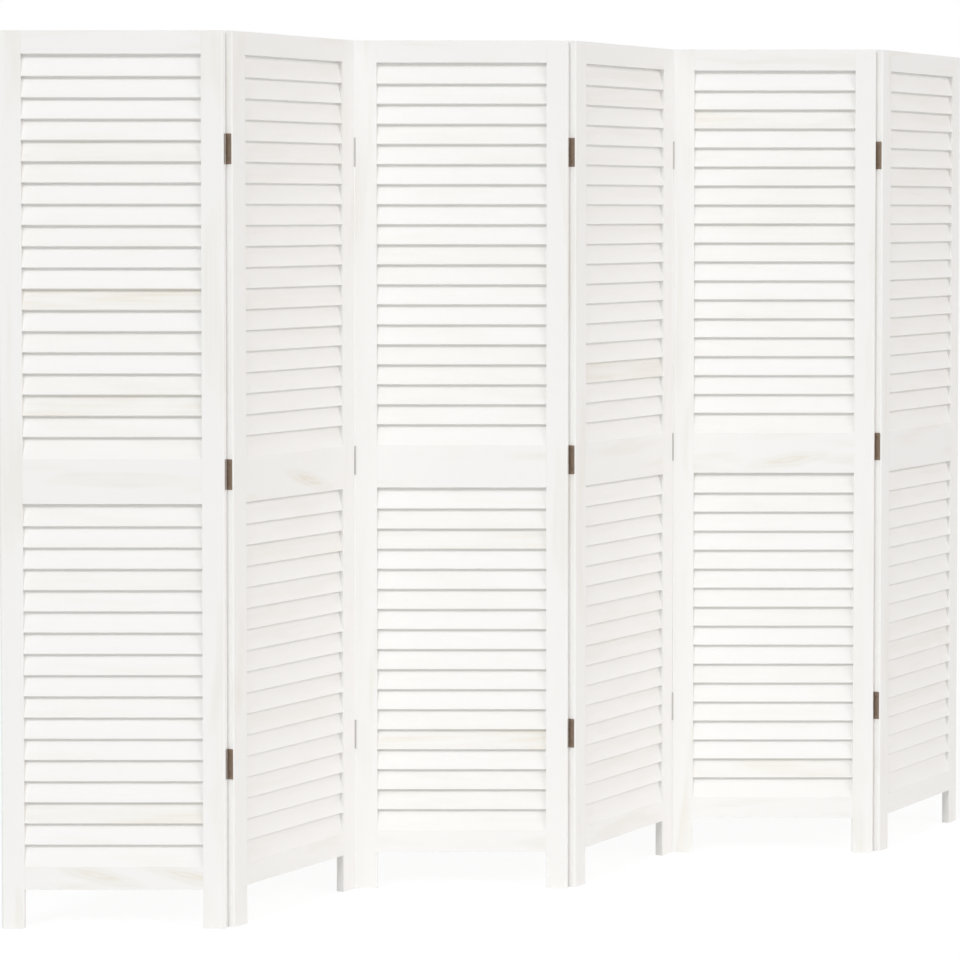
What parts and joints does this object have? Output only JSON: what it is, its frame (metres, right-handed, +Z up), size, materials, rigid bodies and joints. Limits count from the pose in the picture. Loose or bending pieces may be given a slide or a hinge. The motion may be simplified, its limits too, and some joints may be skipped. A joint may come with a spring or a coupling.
{
  "type": "folding screen",
  "caption": "Free-standing folding screen of louvred wooden panels, hinged edge to edge to stand in a zigzag or fold flat.",
  "frame": {"origin": "on the floor, under the middle of the screen's bounding box", "axes": "+X along the odd panels from the first to the last, +Y from their fronts to their backs, +Z up"},
  "size_m": [1.9248, 1.1076, 1.66],
  "materials": {
    "whitewashed_wood": "white-washed, matt",
    "hinge_metal": "bronzed, satin",
    "screw_steel": "bronzed, satin",
    "pin_steel": "drawn wire"
  },
  "bodies": {
    "panel_1": {"panel_1_left_stile": "whitewashed_wood", "panel_1_right_stile": "whitewashed_wood", "panel_1_bottom_rail": "whitewashed_wood", "panel_1_middle_rail": "whitewashed_wood", "panel_1_top_rail": "whitewashed_wood", "panel_1_slats": "whitewashed_wood", "panel_1_hinge_screws": "screw_steel", "fold_1_left_leaves": "hinge_metal", "fold_1_pins": "pin_steel"},
    "panel_2": {"panel_2_left_stile": "whitewashed_wood", "panel_2_right_stile": "whitewashed_wood", "panel_2_bottom_rail": "whitewashed_wood", "panel_2_middle_rail": "whitewashed_wood", "panel_2_top_rail": "whitewashed_wood", "panel_2_slats": "whitewashed_wood", "panel_2_hinge_screws": "screw_steel", "fold_1_right_leaves": "hinge_metal", "fold_2_left_leaves": "hinge_metal", "fold_2_pins": "pin_steel"},
    "panel_3": {"panel_3_left_stile": "whitewashed_wood", "panel_3_right_stile": "whitewashed_wood", "panel_3_bottom_rail": "whitewashed_wood", "panel_3_middle_rail": "whitewashed_wood", "panel_3_top_rail": "whitewashed_wood", "panel_3_slats": "whitewashed_wood", "panel_3_hinge_screws": "screw_steel", "fold_2_right_leaves": "hinge_metal", "fold_3_left_leaves": "hinge_metal", "fold_3_pins": "pin_steel"},
    "panel_4": {"panel_4_left_stile": "whitewashed_wood", "panel_4_right_stile": "whitewashed_wood", "panel_4_bottom_rail": "whitewashed_wood", "panel_4_middle_rail": "whitewashed_wood", "panel_4_top_rail": "whitewashed_wood", "panel_4_slats": "whitewashed_wood", "panel_4_hinge_screws": "screw_steel", "fold_3_right_leaves": "hinge_metal", "fold_4_left_leaves": "hinge_metal", "fold_4_pins": "pin_steel"},
    "panel_5": {"panel_5_left_stile": "whitewashed_wood", "panel_5_right_stile": "whitewashed_wood", "panel_5_bottom_rail": "whitewashed_wood", "panel_5_middle_rail": "whitewashed_wood", "panel_5_top_rail": "whitewashed_wood", "panel_5_slats": "whitewashed_wood", "panel_5_hinge_screws": "screw_steel", "fold_4_right_leaves": "hinge_metal", "fold_5_left_leaves": "hinge_metal", "fold_5_pins": "pin_steel"},
    "panel_6": {"panel_6_left_stile": "whitewashed_wood", "panel_6_right_stile": "whitewashed_wood", "panel_6_bottom_rail": "whitewashed_wood", "panel_6_middle_rail": "whitewashed_wood", "panel_6_top_rail": "whitewashed_wood", "panel_6_slats": "whitewashed_wood", "panel_6_hinge_screws": "screw_steel", "fold_5_right_leaves": "hinge_metal"}
  },
  "joints": [
    {"name": "fold_1_hinge", "type": "hinge", "parent": "panel_1", "child": "panel_2", "pos_m": [-0.54612, -0.53751, 0.842], "axis": [0, 0, 1], "range_deg": [-59.5, 120.5]},
    {"name": "fold_2_hinge", "type": "hinge", "parent": "panel_2", "child": "panel_3", "pos_m": [-0.32038, -0.18698, 0.842], "axis": [0, 0, -1], "range_deg": [-59.5, 120.5]},
    {"name": "fold_3_hinge", "type": "hinge", "parent": "panel_3", "child": "panel_4", "pos_m": [0.09622, -0.17038, 0.842], "axis": [0, 0, 1], "range_deg": [-59.5, 120.5]},
    {"name": "fold_4_hinge", "type": "hinge", "parent": "panel_4", "child": "panel_5", "pos_m": [0.32197, 0.18015, 0.842], "axis": [0, 0, -1], "range_deg": [-59.5, 120.5]},
    {"name": "fold_5_hinge", "type": "hinge", "parent": "panel_5", "child": "panel_6", "pos_m": [0.73857, 0.19675, 0.842], "axis": [0, 0, 1], "range_deg": [-59.5, 120.5]}
  ]
}
